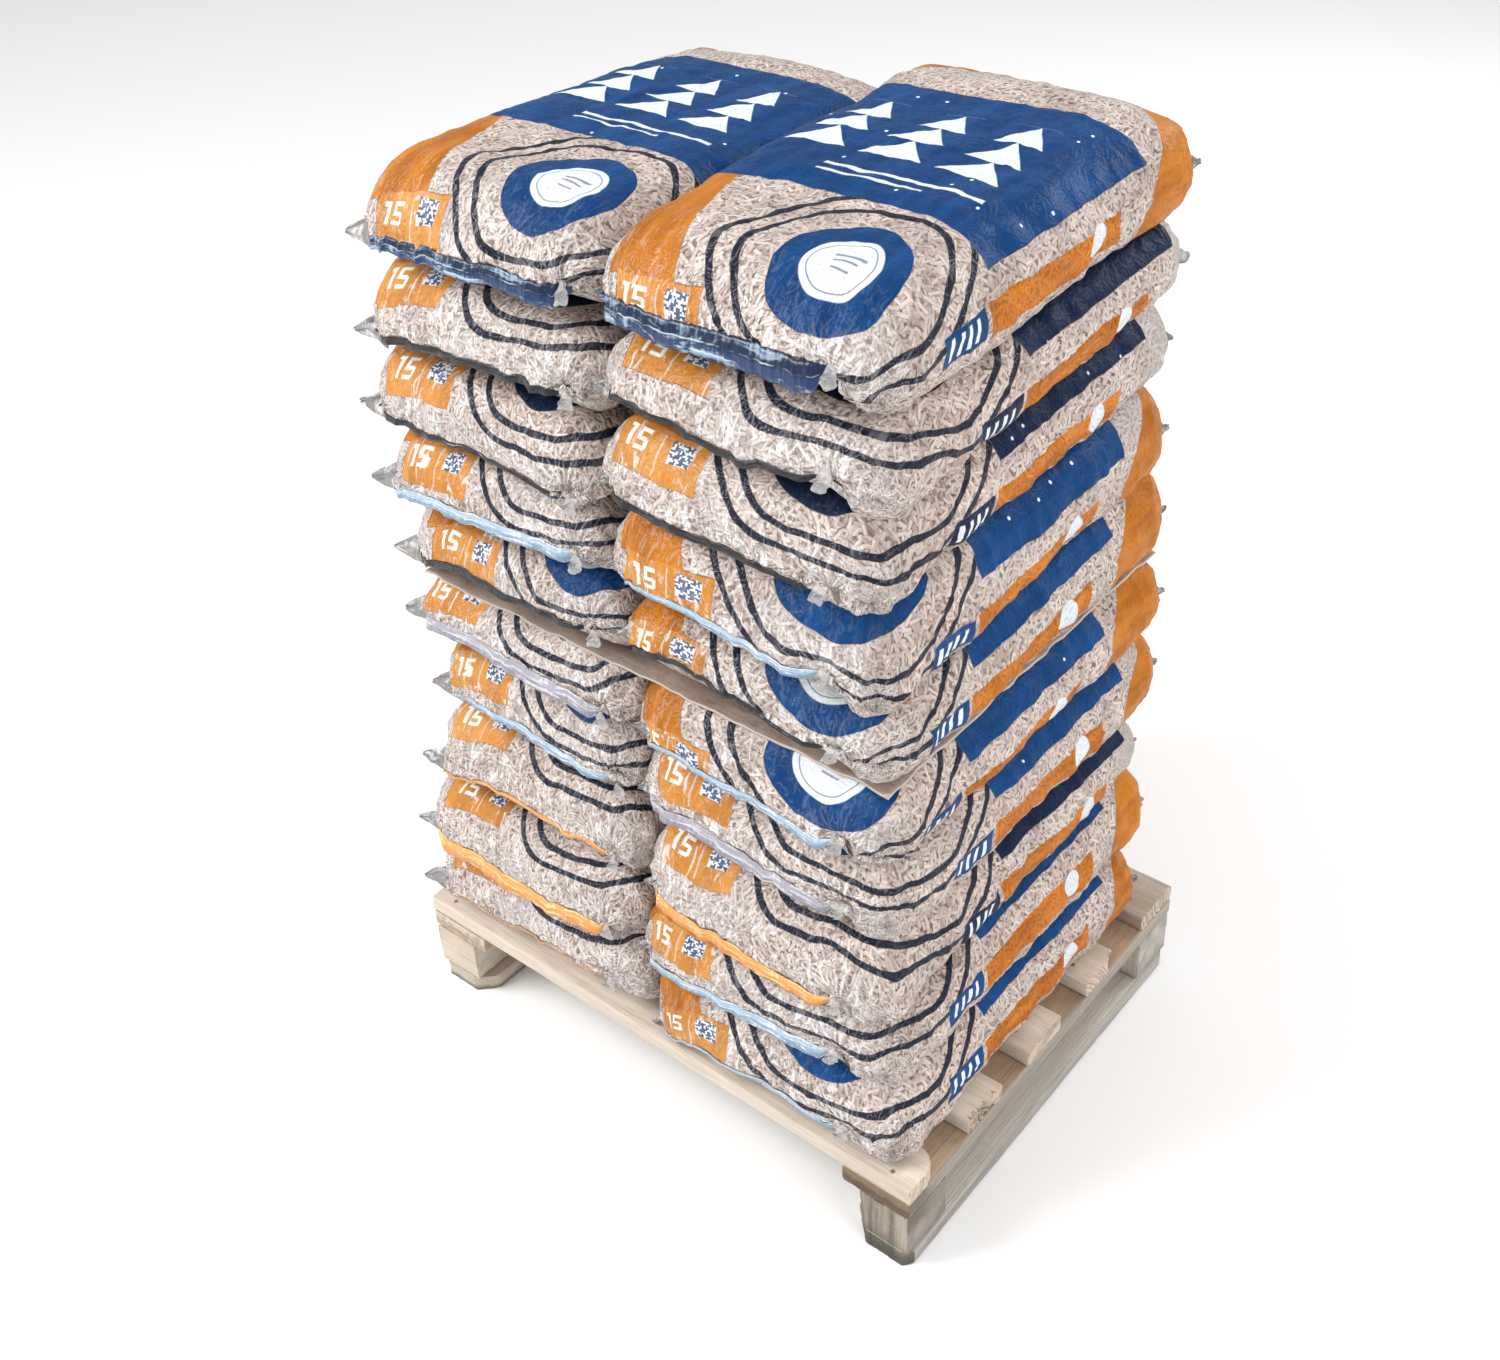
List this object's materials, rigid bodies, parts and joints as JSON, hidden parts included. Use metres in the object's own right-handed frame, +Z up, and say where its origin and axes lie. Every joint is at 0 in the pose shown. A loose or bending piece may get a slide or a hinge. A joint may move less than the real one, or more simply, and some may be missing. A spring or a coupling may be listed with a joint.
{
  "type": "pallet of sacks",
  "caption": "Small wooden pallet loaded with a square stack of clear film sacks of wood pellets in two columns, with a cardboard sheet half way up.",
  "frame": {"origin": "middle of the pallet's footprint, on the floor", "axes": "+Z up, +X along the deck boards to the right as seen from the near side, +Y along the sacks from the near end to the far end"},
  "size_m": [0.8, 0.615, 1.2314],
  "materials": {
    "sack_film": "clear glossy film printed in orange and blue over light wood pellets",
    "slip_sheet_cardboard": "plain brown board, matt",
    "pallet_wood": "rough sawn pale softwood",
    "weathered_wood": "rough sawn softwood, greyed"
  },
  "bodies": {
    "root": {"sack_left_01": "sack_film", "sack_left_02": "sack_film", "sack_left_03": "sack_film", "sack_left_04": "sack_film", "sack_left_05": "sack_film", "sack_left_06": "sack_film", "sack_left_07": "sack_film", "sack_left_08": "sack_film", "sack_left_09": "sack_film", "sack_left_10": "sack_film", "sack_right_01": "sack_film", "sack_right_02": "sack_film", "sack_right_03": "sack_film", "sack_right_04": "sack_film", "sack_right_05": "sack_film", "sack_right_06": "sack_film", "sack_right_07": "sack_film", "sack_right_08": "sack_film", "sack_right_09": "sack_film", "sack_right_10": "sack_film", "slip_sheet": "slip_sheet_cardboard", "deck_board_1": "pallet_wood", "deck_board_2": "pallet_wood", "deck_board_3": "pallet_wood", "deck_board_4": "pallet_wood", "deck_board_5": "pallet_wood", "stringer_board_left": "pallet_wood", "stringer_board_right": "pallet_wood", "bottom_board_left": "weathered_wood", "bottom_board_right": "weathered_wood", "block_near_left": "weathered_wood", "block_near_right": "weathered_wood", "block_far_left": "weathered_wood", "block_far_right": "weathered_wood"}
  },
  "joints": []
}
